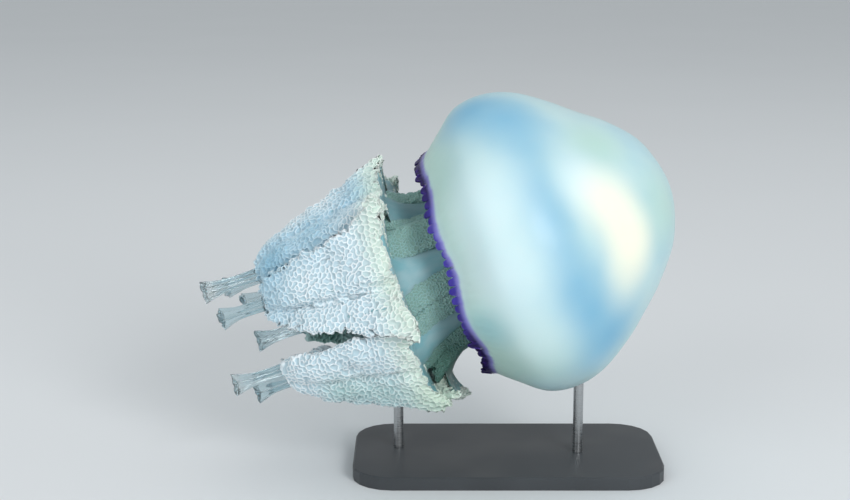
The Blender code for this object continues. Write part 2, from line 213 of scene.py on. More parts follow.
# Frills. Lengths that follow a cell's width are shares of it.
NET_LAYERS = ("across", "down", "edge")
CURVE_STEPS = 8  # steps to a span of an outline
SCAPULET_CURVE_STEPS = 5
FEWEST_CELLS = 8  # round one ring
ROW_SPACING = 0.84  # from ring to ring
NET_LOOSENESS = 0.3  # how far a point of the net may stray
NET_DROPPED = 0.16  # share of the net's points that are left out
OPEN_SIDES = 17  # corners of a face from which it is two cells in one
RIDGE_BEND = 0.09  # how far the middle of a ridge may stray
RIDGE_HEIGHTS = (-0.13, 0.08)
RIDGE_PALENESS = (0.8, 1.0)
SMALLEST_PIT = 0.3  # area, as a share of the square of a cell's width
FINGER_EDGE = 0.4  # weight of an edge from which it may carry fingers
FINGER_SHARE = 0.3  # of the cells there that are fingers
FINGER_STEPS = ((0.14, 0.13), (0.1, 0.13), (0.14, 0.06))  # (step in, step up)
PIT_PALENESS = 0.12
PIT_MIDDLE = 0.2  # how much deeper the middle of a pit lies, as a share of its depth
FOLD_SIZES = ((26 * MM, 1.0), (11 * MM, 0.4))  # (size, strength)
DEEPEST_FOLD = -0.75  # share of a fold's height
LIP_FOLD = 0.3  # share of the folds that the lip takes
FOLD_SEED = 7.0  # shift of the folds' noise from arm to arm
UNWRAP_MARGIN = 1.08  # width of the unwrap, as a share of the widest ring
UNWRAP_TOP = 0.96  # where the first ring lies in it
LEVEL_CELL = 0.05  # slope up to which a cell counts as level
CORE_POINTS = 48  # points round the flesh of an arm

# Patches of another tint, in the order they are laid: (centre on the animal, radius, strength),
# in metres.
BELL_PATCHES = (
    # Blue of thinner jelly, and painted shade along the bell's flanks and its upper edge.
    ("thin_blue_and_shade", (
        ((0.066, -0.135, 0.060), 0.060, 1.0), ((0.092, -0.117, 0.090), 0.060, 0.9),
        ((0.122, -0.080, 0.094), 0.045, 0.55), ((0.139, -0.045, 0.094), 0.042, 0.68),
        ((0.144, -0.015, 0.096), 0.042, 0.7), ((0.143, 0.018, 0.098), 0.042, 0.65),
        ((0.134, 0.052, 0.100), 0.048, 0.78), ((0.115, 0.080, 0.106), 0.052, 0.85),
        ((0.080, 0.108, 0.114), 0.070, 1.0))),
    ("green", (((0.074, -0.068, 0.160), 0.050, 0.7), ((0.100, 0.100, 0.035), 0.070, 0.6),
               ((0.050, 0.010, 0.200), 0.065, 0.6))),
    ("white_milk_and_highlight", (((0.138, -0.045, 0.048), 0.070, 0.8), ((0.142, 0.020, 0.042), 0.075, 0.85),
                    ((0.116, 0.085, 0.050), 0.060, 0.5))),
    # Painted shade low on the rim, in the clear jelly's colour.
    ("clear", (((0.110, 0.066, 0.010), 0.038, 0.6),)),
    # Painted highlight on the crown: white milk, then cream.
    ("white_milk_and_highlight", (((0.114, -0.036, 0.137), 0.046, 0.9),)),
    ("cream", (((0.105, -0.012, 0.153), 0.052, 0.85), ((0.097, 0.015, 0.162), 0.045, 0.7),
               ((0.092, 0.036, 0.160), 0.050, 0.85), ((0.092, 0.064, 0.148), 0.046, 0.35))))
# Painted shade: darker on the stalk under the bell, olive on the upper arms.
CLEAR_SHADE = (((0.047, -0.075, -0.03), 0.06, 0.6),)
CLEAR_OLIVE_SHADE = (((0.02, 0.098, -0.044), 0.085, 0.95),)
# The same on the arms' frills, as painted shade, with the shares left of the frill's red, green
# and blue.
ARM_SHADE_PATCHES = (
    ((0.58, 0.77, 0.88), (
        ((0.05, -0.1, -0.07), 0.05, 0.8), ((0.07, -0.078, -0.125), 0.055, 0.8),
        ((0.06, -0.062, -0.175), 0.055, 1.0), ((0.09, -0.02, -0.19), 0.05, 0.5))),
    ((0.42, 0.6, 0.48), (
        ((0.072, 0.084, -0.145), 0.04, 0.5), ((0.068, 0.096, -0.105), 0.045, 0.5),
        ((0.056, 0.112, -0.056), 0.05, 0.8), ((-0.065, 0.03, -0.165), 0.06, 0.95))))
# Shares of the crests' olive left in their darker cell floors and in their painted shade.
SCAPULET_DARK = (0.88, 0.86, 0.76)
# On the scapulets, painted shade: a patch of the flesh's olive, then one of their darker floor
# colour.
SCAPULET_SHADE_PATCHES = (((0.03, 0.092, -0.046), 0.075, 0.9), ((0.05, -0.08, -0.03), 0.06, 0.75))
ARM_TIPS = 35 * MM  # how far down the tips' tint reaches
SCAPULET_TIPS = 10 * MM
# Away from the lit front the lappets' violet darkens as painted shade.
LAPPETS_LIT_FRONT = ((0.113, 0.0, -0.005), 0.115)  # (centre, radius) of the lit front
CLUB_TIPS = (-0.236, -0.246)  # heights between which the clubs' ends cloud
NOISE_SPAN = (0.3, 0.7)  # values between which most of a noise lies
JELLY_IOR = 1.35
ARM_SEED, SCAPULET_SEED, FLESH_SEED = 100, 200, 11

# Studio, in metres: (name, width, place) of the lamps, and how the camera is set, which looks down
# on the rim's centre.
LAMPS = (("key", 1.6, (2.1, -3.5, 2.1)), ("fill", 2.8, (-2.9, -3.5, 2.0)),
         ("top", 2.8, (-0.1, 1.0, 3.8)))
FLOOR_REACH = 40.0
CAMERA_DROP = 12  # degrees
CAMERA_RISE = 0.012  # how far it is moved up, square to its view
CAMERA_LEFT = 0.038


def from_hex(code):
    """An sRGB hex colour as linear red, green and blue."""
    parts = [int(code[place:place + 2], 16) / 255 for place in (1, 3, 5)]
    return tuple(part / 12.92 if part <= 0.04045 else ((part + 0.055) / 1.055) ** 2.4
                 for part in parts)


def colour_property(name, code, description):
    return FloatVectorProperty(name=name, description=description, default=from_hex(code),
                               subtype="COLOR", size=3, min=0.0, max=1.0)


def length_property(name, size, description):
    return FloatProperty(name=name, description=description, default=size, unit="LENGTH")


class JellyfishFleshSettings(bpy.types.PropertyGroup):
    lappets: IntProperty(name="Lappets", description="Lobes round the rim", default=80, min=8)
    furrow: length_property("Rim furrows", 0.45 * MM, "Depth of the furrows above the lappets")
    wave: length_property("Rim waves", 2.0 * MM, "How far the rim sways up and down")
    unevenness: length_property("Unevenness", 0.3 * MM, "Soft unevenness of the bell")
    coat_depth: length_property("Frill depth", 4.8 * MM, "How deep the flesh lies in the frills")
    milk: colour_property("Milk", "#BCD8DB", "Thick milky jelly")
    # Also laid on the crown, with the cream, as a painted highlight.
    white_milk_and_highlight: colour_property("White milk", "#D5E9EC", "Thicker jelly of the lower bell")
    # Laid on the bell's crown as a painted highlight.
    cream: colour_property("Cream", "#F6F4E0", "Thickest jelly, on the bell's crown")
    # Laid at random as thinner jelly, and in patches as painted shade on the bell's flanks and
    # upper edge.
    thin_blue_and_shade: colour_property("Thin jelly", "#7CB4D0", "Thinner jelly that lets blue through")
    green: colour_property("Rim jelly", "#B3D3C7", "Greenish jelly near the rim and apex")
    violet: colour_property("Violet", "#3A2C92", "Pigment of the lappets")
    # Laid where the pigment darkens at random and, away from the lit front, as painted shade.
    dark_violet: colour_property("Dark violet", "#1D0E45", "Densest pigment of the lappets")
    lavender: colour_property("Lavender", "#8E8BCB", "Thin pigment where the lappets start")
    clear: colour_property("Clear jelly", "#8ABDC6", "Stalk and upper arms")
    glass: colour_property("Glassy jelly", "#D3E8EE", "Clubs")
    club_end: colour_property("Club ends", "#EFF3F3", "Clouded tips of the clubs")
    olive: colour_property("Olive", "#2F5A4C", "Shaded folds of the upper arms")


class JellyfishFrillSettings(bpy.types.PropertyGroup):
    cell: length_property("Cell", 5.2 * MM, "Width of one open cell of the arms' frills")
    scapulet_cell: length_property("Scapulet cell", 3.1 * MM, "Width of one cell of the crests")
    ridge: length_property("Ridge", 0.75 * MM, "Width of the frill's edge between two cells")
    wall: length_property("Wall", 0.55 * MM, "Width of the slope down into a cell")
    opened: FloatProperty(name="Opened", description="Share of ridges that leave two cells open",
                          default=0.2, min=0.0, max=1.0)
    pit: length_property("Pit", 1.0 * MM, "Depth of a cell")
    fold: length_property("Fold", 3.4 * MM, "Height of the broad soft folds")
    white: colour_property("White", "#E6F0F5", "Edges of the frills")
    shade: colour_property("Shade", "#BDD3DC", "Floor of the cells")
    cream: colour_property("Cream", "#D6E4CE", "Tint of the upper tips")
    olive: colour_property("Olive grey", "#8DB4B5", "Crests on the shoulders")


class JellyfishStandSettings(bpy.types.PropertyGroup):
    paint: colour_property("Paint", "#3A3E42", "Satin paint of the base")
    steel: colour_property("Steel", "#B9BCBE", "Brushed steel of the rods")


class JellyfishStageSettings(bpy.types.PropertyGroup):
    floor: colour_property("Floor", "#E2E5E7", "Matt pale floor")
    key: FloatProperty(name="Key light", description="Watts", default=106.0, min=0.0)
    fill: FloatProperty(name="Fill light", description="Watts", default=54.0, min=0.0)
    top: FloatProperty(name="Top light", description="Watts", default=18.0, min=0.0)
    sky: FloatProperty(name="Room light", description="Strength", default=0.55, min=0.0)
    room: colour_property("Room", "#F7FCFF", "Colour of the room's light")
    distance: length_property("Camera distance", 1.6, "From the rim's centre")
    lens: FloatProperty(name="Lens", description="Focal length in mm", default=67.8, min=1.0)


# ------------------------------------------------------------------ curves and places


def smoothstep(value):
    value = min(max(value, 0.0), 1.0)
    return value * value * (3 - 2 * value)


def curve_point(a, b, c, d, t):
    """Catmull-Rom between b and c."""
    return 0.5 * (2 * b + (c - a) * t + (2 * a - 5 * b + 4 * c - d) * t**2
                  + (3 * b - a - 3 * c + d) * t**3)


def smooth_at(points, share):
    """The point at a share, 0 to 1, of a smooth curve through the points."""
    knots = [Vector(point) for point in points]
    knots = [2 * knots[0] - knots[1], *knots, 2 * knots[-1] - knots[-2]]
    place = min(max(share, 0.0), 1.0) * (len(points) - 1)
    span = min(int(place), len(points) - 2)
    return curve_point(*knots[span:span + 4], place - span)


def smooth_curve(points, steps):
    return [smooth_at(points, step / steps) for step in range(steps + 1)]


def closed_curve(points, steps):
    """(point, place) round a closed curve, with `steps` to each of its spans."""
    knots = [Vector(point) for point in points]
    count = len(knots)
    curve = []
    for span in range(count):
        a, b, c, d = (knots[(span + shift) % count] for shift in (-1, 0, 1, 2))
        curve += [(curve_point(a, b, c, d, step / steps), span + step / steps)
                  for step in range(steps)]
    return curve


def steps_round(curve):
    """Distances from point to point round a closed curve of (point, place)."""
    points = [point for point, _ in curve]
    return [(after - point).length for point, after in zip(points, points[1:] + points[:1])]


def spaced(curve, count, start=0.0):
    """`count` evenly spaced (point, place, share round) along a closed curve."""
    steps = steps_round(curve)
    total = sum(steps)
    made = []
    span, passed = 0, 0.0
    for index in range(count):
        share = (index + start) / count
        while span < len(steps) - 1 and passed + steps[span] < share * total:
            passed += steps[span]
            span += 1
        t = (share * total - passed) / max(steps[span], 1e-9)
        after = curve[(span + 1) % len(curve)][0]
        made.append((curve[span][0].lerp(after, t), curve[span][1], share))
    return made


def arm_place(index):
    """Turns an arm's own frame (outwards, across, up) to its place round the axis."""
    middle = (ARM_EDGES[index] + ARM_EDGES[index + 1]) / 2
    return Matrix.Rotation(math.radians(middle), 4, "Z")


def arm_space(index, radius):
    """Half of the room across an arm's sector at a radius."""
    return radius * math.tan(math.radians(ARM_EDGES[index + 1] - ARM_EDGES[index]) / 2)


def in_place(index, points):
    """Points of an arm's own frame, in mm, carried to the animal, with the arms' droop."""
    place = arm_place(index)
    made = []
    for point in points:
        point = place @ (Vector(point) * MM)
        point.y += DROOP * smoothstep(point.z / DROOP_END)
        made.append(point)
    return made


def wing_outline(index, outer, half, depth, near_top, meet, frilled):
    """(outwards, across) of the three-winged arm: from its groove round its wings and back."""
    spread = half + EAR_SPREAD * near_top + MEET_SPREAD * meet * frilled
    room = arm_space(index, 1.0)
    clear = ARM_CLEARANCE - ARM_OVER[index] * meet * frilled
    wings = []
    for lap in ARM_LAP[index]:
        lap = lap * min(1.0, half / LAP_FULL) if frilled else CORE_LAP
        corner = outer - WING_CORNER + EAR_FLARE * near_top + lap
        back = corner - WING_EDGE
        wings.append([
            (outer - WING_FACE[0] + EAR_FLARE * near_top / 3, WING_FACE[1] * half),
            (corner, min(spread, corner * room - clear)),
            (back, min(WING_BACK * spread, back * room - clear)),
            (outer - WING_WAIST[0], max(WING_WAIST[1] * half, WING_INSIDE)),
            (outer - depth, WING_INSIDE)])
    aside, groove, step = (size * min(1.0, half / GROOVE_FULL) for size in ARM_GROOVE[index])
    first, second = [[(outer - deep - part * step, place * aside + wide * half)
                      for deep, part, place, wide in rows] for rows in GROOVE_SIDES]
    return [(outer - groove, aside), *first, *wings[1],
            *[(x, -y) for x, y in reversed(wings[0])], *second]


def arm_station(index, share, frilled=True):
    """Outline, centre, height, rise and half width of a frilled arm, or of the flesh in it."""
    top, end = ARM_TOP[index], ARM_END[index]
    place = share_on(FRILLED_ARM, share)
    outer, half = smooth_at([row[1:3] for row in FRILLED_ARM], place)
    depth = smooth_at([(row[3], 0) for row in FRILLED_ARM], place).x
    height = top + (end - top) * share
    outer -= ARM_TUCK[index] * share**2
    half *= ARM_WIDTH[index]
    near_top = 1 - smoothstep((top - height) / EAR_LENGTH)
    meet = 1 - smoothstep((top - height) / MEET_LENGTH)
    outline = wing_outline(index, outer, half, depth, near_top, meet, frilled)
    sweep = ARM_SWEEP[index] * share**2
    middle = Vector((outer - CENTRE_DEPTH * depth, sweep))
    return [(x, y + sweep) for x, y in outline], middle, height, EAR_RISE[index] * near_top, half


def risen(point, height, rise, half):
    """A point of an arm's ring at its height, with the rise of the arm's corners."""
    return (*point, height + rise * min(1.0, abs(point.y) / half) ** EAR_CURVE)


def share_on(table, share):
    """Where a share of the length lies along a table whose rows start with that share."""
    for row, (low, high) in enumerate(zip(table, table[1:])):
        if share <= high[0]:
            return (row + (share - low[0]) / (high[0] - low[0])) / (len(table) - 1)
    return 1.0


# ------------------------------------------------------------------ meshes


def extrude_through(bm, rings):
    """A solid that starts as a face on the first ring and is extruded from ring to ring."""
    start = cap = bm.faces.new([bm.verts.new(point) for point in rings[0]])
    for ring in rings[1:]:
        moved = bmesh.ops.extrude_face_region(bm, geom=[cap])["geom"]
        if cap is not start:
            bmesh.ops.delete(bm, geom=[cap], context="FACES_ONLY")
        cap = next(item for item in moved if isinstance(item, bmesh.types.BMFace))
        for vert, point in zip(cap.verts, ring):
            vert.co = point
    bmesh.ops.poke(bm, faces=[start, cap])


def new_object(bm, name, materials):
    """Makes a smooth-shaded object of a bmesh."""
    mesh = bpy.data.meshes.new(name)
    bm.to_mesh(mesh)
    bm.free()
    mesh.shade_smooth()
    made = bpy.data.objects.new(name, mesh)
    for surface in materials:
        mesh.materials.append(surface)
    bpy.context.scene.collection.objects.link(made)
    return made


def applied(made):
    """Applies an object's modifiers and returns the result as a bmesh. The object is removed."""
    shape = made.evaluated_get(bpy.context.evaluated_depsgraph_get())
    bm = bmesh.new()
    bm.from_mesh(shape.to_mesh())
    shape.to_mesh_clear()
    mesh = made.data
    bpy.data.objects.remove(made, do_unlink=True)
    bpy.data.meshes.remove(mesh)
    return bm


def lappet_profile():
    """(radius, height) round a lappet: down its outer face, over its tip and up its inner face."""
    down = LAPPET_TIP - LAPPET_ROOT
    out = Vector((-down.y, down.x)).normalized() * LAPPET_THICKNESS / 2
    outer, inner = [[LAPPET_ROOT + down * share + side * out * (1 + LAPPET_SWELL * share)
                     for share in LAPPET_ROWS] for side in (1, -1)]
    return [*outer, LAPPET_ROOT + down * LAPPET_END, *reversed(inner)]


def lappet_length(place, lengths):
    """Share of the full length that a lappet has at a place round the rim, counted in lappets."""
    index, across = int(place), place % 1
    nearest = round(place) % len(lengths)
    notch = SENSE_NOTCH if nearest % LAPPETS_IN_GROUP == 0 else LAPPET_NOTCH
    full = lengths[index % len(lengths)]
    aside, drop = LAPPET_ROUNDNESS
    return notch + (full - notch) * (1 - abs(2 * across - 1) ** aside) ** drop


def rim_sway(turn):
    """How the rim sways up and down round the bell."""
    return sum(strength * math.sin(swings * turn + phase) for swings, strength, phase in RIM_WAVES)


def keep_rim_level(bm, wave):
    """Keeps each vertex's height above the swaying rim, which the pigment follows."""
    level = bm.verts.layers.float.new("above_rim")
    for vert in bm.verts:
        turn = math.atan2(vert.co.y, vert.co.x)
        vert[level] = vert.co.z - wave * rim_sway(turn) * (1 - smoothstep(vert.co.z / RIM_REACH))


def spun_profile(around):
    """The profile of the bell, its lappets, its inside and the stalk, spun into a closed skin.

    Each vertex keeps the kind of the profile's point that it comes from.
    """
    apex = BELL_OUTSIDE[-2]
    spans = len(BELL_OUTSIDE)
    outside = smooth_curve([*BELL_OUTSIDE, (-apex[0], apex[1])], spans * OUTSIDE_STEPS_PER_SPAN)
    outside = outside[:(spans - 1) * OUTSIDE_STEPS_PER_SPAN + 1]
    outside[-1].x = 0.0
    lappet = lappet_profile()
    inside = smooth_curve(BELL_INSIDE, INSIDE_STEPS)
    foot = [Vector((radius, BELL_INSIDE[-1][1])) for radius in STALK_FOOT]
    stalk_from = INSIDE_STEPS * STALK_STARTS / (len(BELL_INSIDE) - 1)
    kinds = [OUTSIDE] * len(outside) + [LAPPET] * len(lappet)
    kinds += [INSIDE if row < stalk_from else STALK for row in range(len(inside))]
    kinds += [STALK] * len(foot)

    bm = bmesh.new()
    kind = bm.verts.layers.int.new("kind")
    verts = []
    for point, what in zip([*reversed(outside), *lappet, *inside, *foot], kinds):
        vert = bm.verts.new((point.x * MM, 0, point.y * MM))
        vert[kind] = what
        verts.append(vert)
    edges = [bm.edges.new(pair) for pair in zip(verts, verts[1:])]
    bmesh.ops.spin(bm, geom=verts + edges, cent=(0, 0, 0), axis=(0, 0, 1), angle=math.tau,
                   steps=around, use_merge=True)
    bmesh.ops.remove_doubles(bm, verts=bm.verts[:], dist=POLE_REACH)
    bmesh.ops.recalc_face_normals(bm, faces=bm.faces[:])
    return bm, kind


def spun_flesh(sizes):
    """The bell, its lappets, its inside and the stalk, with their lobes, furrows and waves."""
    bm, kind = spun_profile(sizes.lappets * LAPPET_COLUMNS)
    rng = random.Random(FLESH_SEED)
    sway, turned = LAPPET_LENGTH_SWAY
    lengths = [rng.uniform(*LAPPET_LENGTHS) + sway * math.sin(turned * lappet)
               for lappet in range(sizes.lappets)]
    curls = [rng.uniform(*LAPPET_CURLS) for _ in range(sizes.lappets)]
    root = LAPPET_ROOT * MM
    down = (LAPPET_TIP - LAPPET_ROOT).normalized()
    out = Vector((-down.y, down.x))
    full = (LAPPET_TIP - LAPPET_ROOT).length * MM
    lobes_end, lobes_gone = STALK_LOBES_END
    shifts = {}
    for vert in bm.verts:
        turn = math.atan2(vert.co.y, vert.co.x) % math.tau
        radius, height = math.hypot(vert.co.x, vert.co.y), vert.co.z
        place = turn / math.tau * sizes.lappets
        across = place % 1
        if vert[kind] == LAPPET:
            from_root = Vector((radius, height)) - root
            along, aside = from_root.dot(down), from_root.dot(out)
            share = along / full
            along *= lappet_length(place, lengths)
            bulge = LAPPET_BULGE * math.sin(math.pi * across) * share
            aside += curls[int(place) % sizes.lappets] * share**2 + bulge
            radius, height = root + down * along + out * aside
        elif vert[kind] == OUTSIDE:
            near_rim = 1 - smoothstep(height / FURROW_REACH)
            radius -= sizes.furrow * (1 - abs(math.sin(math.pi * across))) * near_rim
            soft = sum(strength * noise.noise(vert.co / size) for size, strength in LUMPS)
            shifts[vert] = vert.normal * (sizes.unevenness * soft)
        elif vert[kind] == STALK:
            strength = smoothstep(height / STALK_LOBES_FULL) * \
                (1 - smoothstep((height - lobes_end) / (lobes_gone - lobes_end)))
            radius *= 1 - STALK_LOBE_DEPTH * (1 + math.cos(STALK_LOBES * turn)) * strength
        if vert[kind] != STALK:
            height += sizes.wave * rim_sway(turn) * (1 - smoothstep(height / RIM_REACH))
        vert.co = (radius * math.cos(turn), radius * math.sin(turn), height)
    for vert, shift in shifts.items():
        vert.co += shift
    for vert in bm.verts:
        vert.co.y -= APEX_LEAN * smoothstep((vert.co.z - LEAN_START) / (APEX - LEAN_START))
    for face in bm.faces:
        face.material_index = CLEAR if all(vert[kind] == STALK for vert in face.verts) else MILKY
    return bm


def upper_outline(inner, outer):
    """(outwards, across) of the upper arm between an inner and an outer radius."""
    side = [(outer - deep, half) for deep, half in UPPER_ARM_OUTSIDE]
    side += [(inner + deep, half) for deep, half in UPPER_ARM_INSIDE]
    return [(outer + UPPER_ARM_CROWN, 0.0), *side, *[(x, -y) for x, y in reversed(side)]]


def core_ring(outline, inset=0.0):
    """CORE_POINTS points round an outline, moved inwards by an inset."""
    curve = closed_curve(outline, CURVE_STEPS)
    points = [point for point, _, _ in spaced(curve, CORE_POINTS)]
    if not inset:
        return points
    made = []
    for index, point in enumerate(points):
        along = points[(index + 1) % CORE_POINTS] - points[index - 1]
        made.append(point - Vector((along.y, -along.x)).normalized() * inset)
    return made


def upper_arm_rings(index, shelf):
    """Rings of the upper arm, from within the stalk to its foot on the shelf."""
    rings = [[(*point, height) for point in core_ring(upper_outline(inner, outer))]
             for height, inner, outer in ARM_ROOT]
    lowest = ARM_TOP[index] + ARM_SEAM
    for step in range(UPPER_ARM_STEPS + 1):
        share = step / UPPER_ARM_STEPS
        _, inner, outer = smooth_at(UPPER_ARM, share_on(UPPER_ARM, share))
        flare = SHELF_FLARE * smoothstep((share - SHELF_FLARE_FROM) / (1 - SHELF_FLARE_FROM))
        height = UPPER_ARM_TOP + (lowest - UPPER_ARM_TOP) * share
        rings.append([(*point.lerp(far, flare), height)
                      for point, far in zip(core_ring(upper_outline(inner, outer)), shelf)])
    return rings


def core_rings(index, shelf, depth):
    """Rings of the flesh over the shelf of a frilled arm and down inside it."""
    _, _, height, rise, half = arm_station(index, 0.0, False)
    foot = core_ring(upper_outline(*UPPER_ARM[-1][1:]))
    rings = [[risen(point.lerp(far, share), height + over, rise, half)
              for point, far in zip(foot, shelf)] for share, over in SHELF_ROWS]
    first, last = CORE_SPAN
    for step in range(1, CORE_STEPS + 1):
        share = first + (last - first) * step / CORE_STEPS
        wings, _, height, rise, half = arm_station(index, share, False)
        narrow = [Vector((x, CORE_WIDTH * y)) for x, y in core_ring(wings, depth / MM)]
        rings.append([risen(point, height, rise, half) for point in narrow])
    return rings


def club_rings(index):
    """Rings of a club, over its dished end."""
    end, length = ARM_END[index], CLUB_LENGTH[index]
    last = arm_station(index, 1.0, False)[0]
    centre = Vector(((last[3][0] + last[7][0]) / 2, ARM_SWEEP[index]))
    rings = []
    for step in range(CLUB_STEPS + 1):
        share = step / CLUB_STEPS
        edge = smooth_at(CLUB_SIDE, share_on(CLUB_SIDE, share)).y
        flared = smoothstep((share - CLUB_FLARE_FROM) / (1 - CLUB_FLARE_FROM))
        rings.append(club_ring(centre, edge, end + CLUB_START - (length + CLUB_START) * share,
                               flared))
    return rings + [club_ring(centre, edge, end - length + sunk, flared)
                    for edge, sunk, flared in CLUB_END]


def arm_flesh(bm, index, depth):
    """One arm from inside the stalk's foot to the end of its club."""
    shelf = core_ring(arm_station(index, 0.0, False)[0], SHELF_INSET)
    rings = upper_arm_rings(index, shelf) + core_rings(index, shelf, depth) + club_rings(index)
    extrude_through(bm, [in_place(index, ring) for ring in rings])


def club_ring(centre, edge, height, flared):
    """A three-edged ring. A flared one has thin edges and a frilled height."""
    ring = []
    for point in range(CORE_POINTS):
        turn = math.tau * point / CORE_POINTS
        ridge = ((1 + math.cos(CLUB_EDGES * turn)) / 2) ** (1 + CLUB_THINNING * flared)
        radius = edge * (CLUB_HOLLOW + (1 - CLUB_HOLLOW) * ridge)
        wave = CLUB_WAVES[0] * flared * math.sin(CLUB_WAVES[1] * turn + 1.0)
        ring.append((centre.x + radius * math.cos(turn), centre.y + radius * math.sin(turn),
                     height + wave))
    return ring


def joined(body, arms):
    """Unites the spun skin with the arms and softens where they meet."""
    body = new_object(body, "spun", [None for _ in FLESH_LOOKS])
    limbs = new_object(arms, "limbs", [None for _ in FLESH_LOOKS])
    union = body.modifiers.new("union", "BOOLEAN")
    union.operation = "UNION"
    union.solver = "EXACT"
    union.object = limbs
    bm = applied(body)
    bpy.data.objects.remove(limbs, do_unlink=True)
    foot = BELL_INSIDE[-1][1] * MM
    reach, radius = JOINT_REACH
    meeting = [vert for vert in bm.verts
               if abs(vert.co.z - foot) < reach and math.hypot(vert.co.x, vert.co.y) < radius]
    for _ in range(JOINT_PASSES):
        bmesh.ops.smooth_vert(bm, verts=meeting, factor=0.5, use_axis_x=True, use_axis_y=True,
                              use_axis_z=True)
    return bm


def anywhere(rng, reach):
    """A random vector, up to a reach along each axis."""
    return Vector([rng.uniform(-1, 1) for _ in range(3)]) * reach


def triangle_net(rows, cell, rng):
    """A closed net of uneven triangles through rings.

    Each ring is (closed curve of points, limits of its weight as an edge, distance down).
    """
    bm = bmesh.new()
    across, down, edge = [bm.verts.layers.float.new(name) for name in NET_LAYERS]
    before = None
    for number, (curve, (least, most), depth) in enumerate(rows):
        length = sum(steps_round(curve))
        count = max(FEWEST_CELLS, round(length / cell))
        points = spaced(curve, count, 0.5 * (number % 2))
        ring = bmesh.ops.create_circle(bm, segments=count, radius=cell)["verts"]
        for vert, (point, place, share) in zip(ring, points):
            vert.co = point + anywhere(rng, NET_LOOSENESS * cell)
            vert[across] = (share - 0.5) * length
            vert[down] = depth
            vert[edge] = min(max(least, wing_edge(place)), most)
        edges = {link for vert in ring for link in vert.link_edges}
        if before:
            bmesh.ops.bridge_loops(bm, edges=list(before | edges))
        before = edges
    bmesh.ops.holes_fill(bm, edges=bm.edges[:])
    bmesh.ops.triangulate(bm, faces=bm.faces[:])
    kept, dropped = set(), []
    for vert in bm.verts:
        if vert not in kept and rng.random() < NET_DROPPED:
            dropped.append(vert)
            kept.update(link.other_vert(vert) for link in vert.link_edges)
    bmesh.ops.dissolve_verts(bm, verts=[vert for vert in dropped if vert not in kept])
    bmesh.ops.triangulate(bm, faces=bm.faces[:])
    bmesh.ops.beautify_fill(bm, faces=bm.faces[:], edges=bm.edges[:])
    bmesh.ops.recalc_face_normals(bm, faces=bm.faces[:])
    return bm


def cell_net(bm):
    """The closed net of cells of a net of triangles, with one face to a cell."""
    net = new_object(bm, "net", [])
    net.modifiers.new("cells", "NODES").node_group = dual_group()
    bm = applied(net)
    loose = [vert for vert in bm.verts if not vert.link_faces]
    bmesh.ops.delete(bm, geom=loose, context="VERTS")
    bmesh.ops.holes_fill(bm, edges=bm.edges[:])
    bmesh.ops.recalc_face_normals(bm, faces=bm.faces[:])
    return bm


def open_cells(bm, cell, share, rng):
    """Opens pairs of cells into one, but none across the seam of the places round the rings."""
    layers = [bm.faces.layers.float[name] for name in NET_LAYERS]
    opened, taken = [], set()
    for link in bm.edges:
        pair = link.link_faces
        if rng.random() > share or len(pair) != 2 or taken.intersection(pair):
            continue
        if abs(pair[0][layers[0]] - pair[1][layers[0]]) > 2 * cell:
            continue
        for layer in layers:
            pair[0][layer] = pair[1][layer] = (pair[0][layer] + pair[1][layer]) / 2
        taken.update(pair)
        opened.append(link)
    bmesh.ops.dissolve_edges(bm, edges=opened, use_verts=False, use_face_split=False)


def numbered_cells(bm):
    """Numbers the cells, and returns (across, down, middle, sideways, upwards) of each one."""
    across, down, _ = [bm.faces.layers.float[name] for name in NET_LAYERS]
    own = bm.faces.layers.int.new("cell")
    cells = []
    for number, face in enumerate(bm.faces):
        face[own] = number
        sideways = Vector((0, 0, 1)).cross(face.normal)
        sideways = sideways.normalized() if sideways.length > LEVEL_CELL else Vector((1, 0, 0))
        cells.append((face[across], face[down], face.calc_center_median(), sideways,
                      face.normal.cross(sideways)))
    return cells


def raise_ridges(bm, cell, sizes, rng):
    """Makes each cell a pit between uneven ridges, or here and there on an edge a finger."""
    fresh = bmesh.ops.subdivide_edges(bm, edges=bm.edges[:], cuts=1)["geom_inner"]
    for vert in fresh:
        if isinstance(vert, bmesh.types.BMVert):
            vert.co += anywhere(rng, RIDGE_BEND * cell)
    ridge = bm.verts.layers.float.new("ridge")
    edge = bm.faces.layers.float["edge"]
    for vert in bm.verts:
        vert[ridge] = rng.uniform(*RIDGE_PALENESS)
        vert.co += vert.normal * rng.uniform(*RIDGE_HEIGHTS) * cell
    relief = cell / sizes.cell
    fingers, pits = [], []
    for face in bm.faces:
        if face[edge] > FINGER_EDGE and rng.random() < FINGER_SHARE * face[edge]:
            fingers.append(face)
        elif face.calc_area() > SMALLEST_PIT * cell * cell:
            pits.append(face)
    bmesh.ops.inset_individual(bm, faces=pits, thickness=sizes.ridge / 2 * relief)
    bmesh.ops.inset_individual(bm, faces=pits, thickness=sizes.wall * relief,
                               depth=-sizes.pit * relief)
    for face in pits:
        for vert in face.verts:
            vert[ridge] = PIT_PALENESS
    closed = [face for face in pits if len(face.verts) < OPEN_SIDES]
    for vert in bmesh.ops.poke(bm, faces=closed, offset=-PIT_MIDDLE * sizes.pit)["verts"]:
        vert[ridge] = 0.0
    for thickness, depth in FINGER_STEPS:
        bmesh.ops.inset_individual(bm, faces=fingers, thickness=thickness * cell,
                                   depth=depth * cell)


def unwrap(bm, cells, widest):
    """Lays the shell out flat, each cell at its place across and down it."""
    layer = bm.loops.layers.uv.new("OFBake")
    own = bm.faces.layers.int["cell"]
    size = UNWRAP_MARGIN * widest
    for face in bm.faces:
        u, v, middle, sideways, upwards = cells[face[own]]
        for loop in face.loops:
            away = loop.vert.co - middle
            loop[layer].uv = (0.5 + (u + away.dot(sideways)) / size,
                              UNWRAP_TOP - (v - away.dot(upwards)) / size)


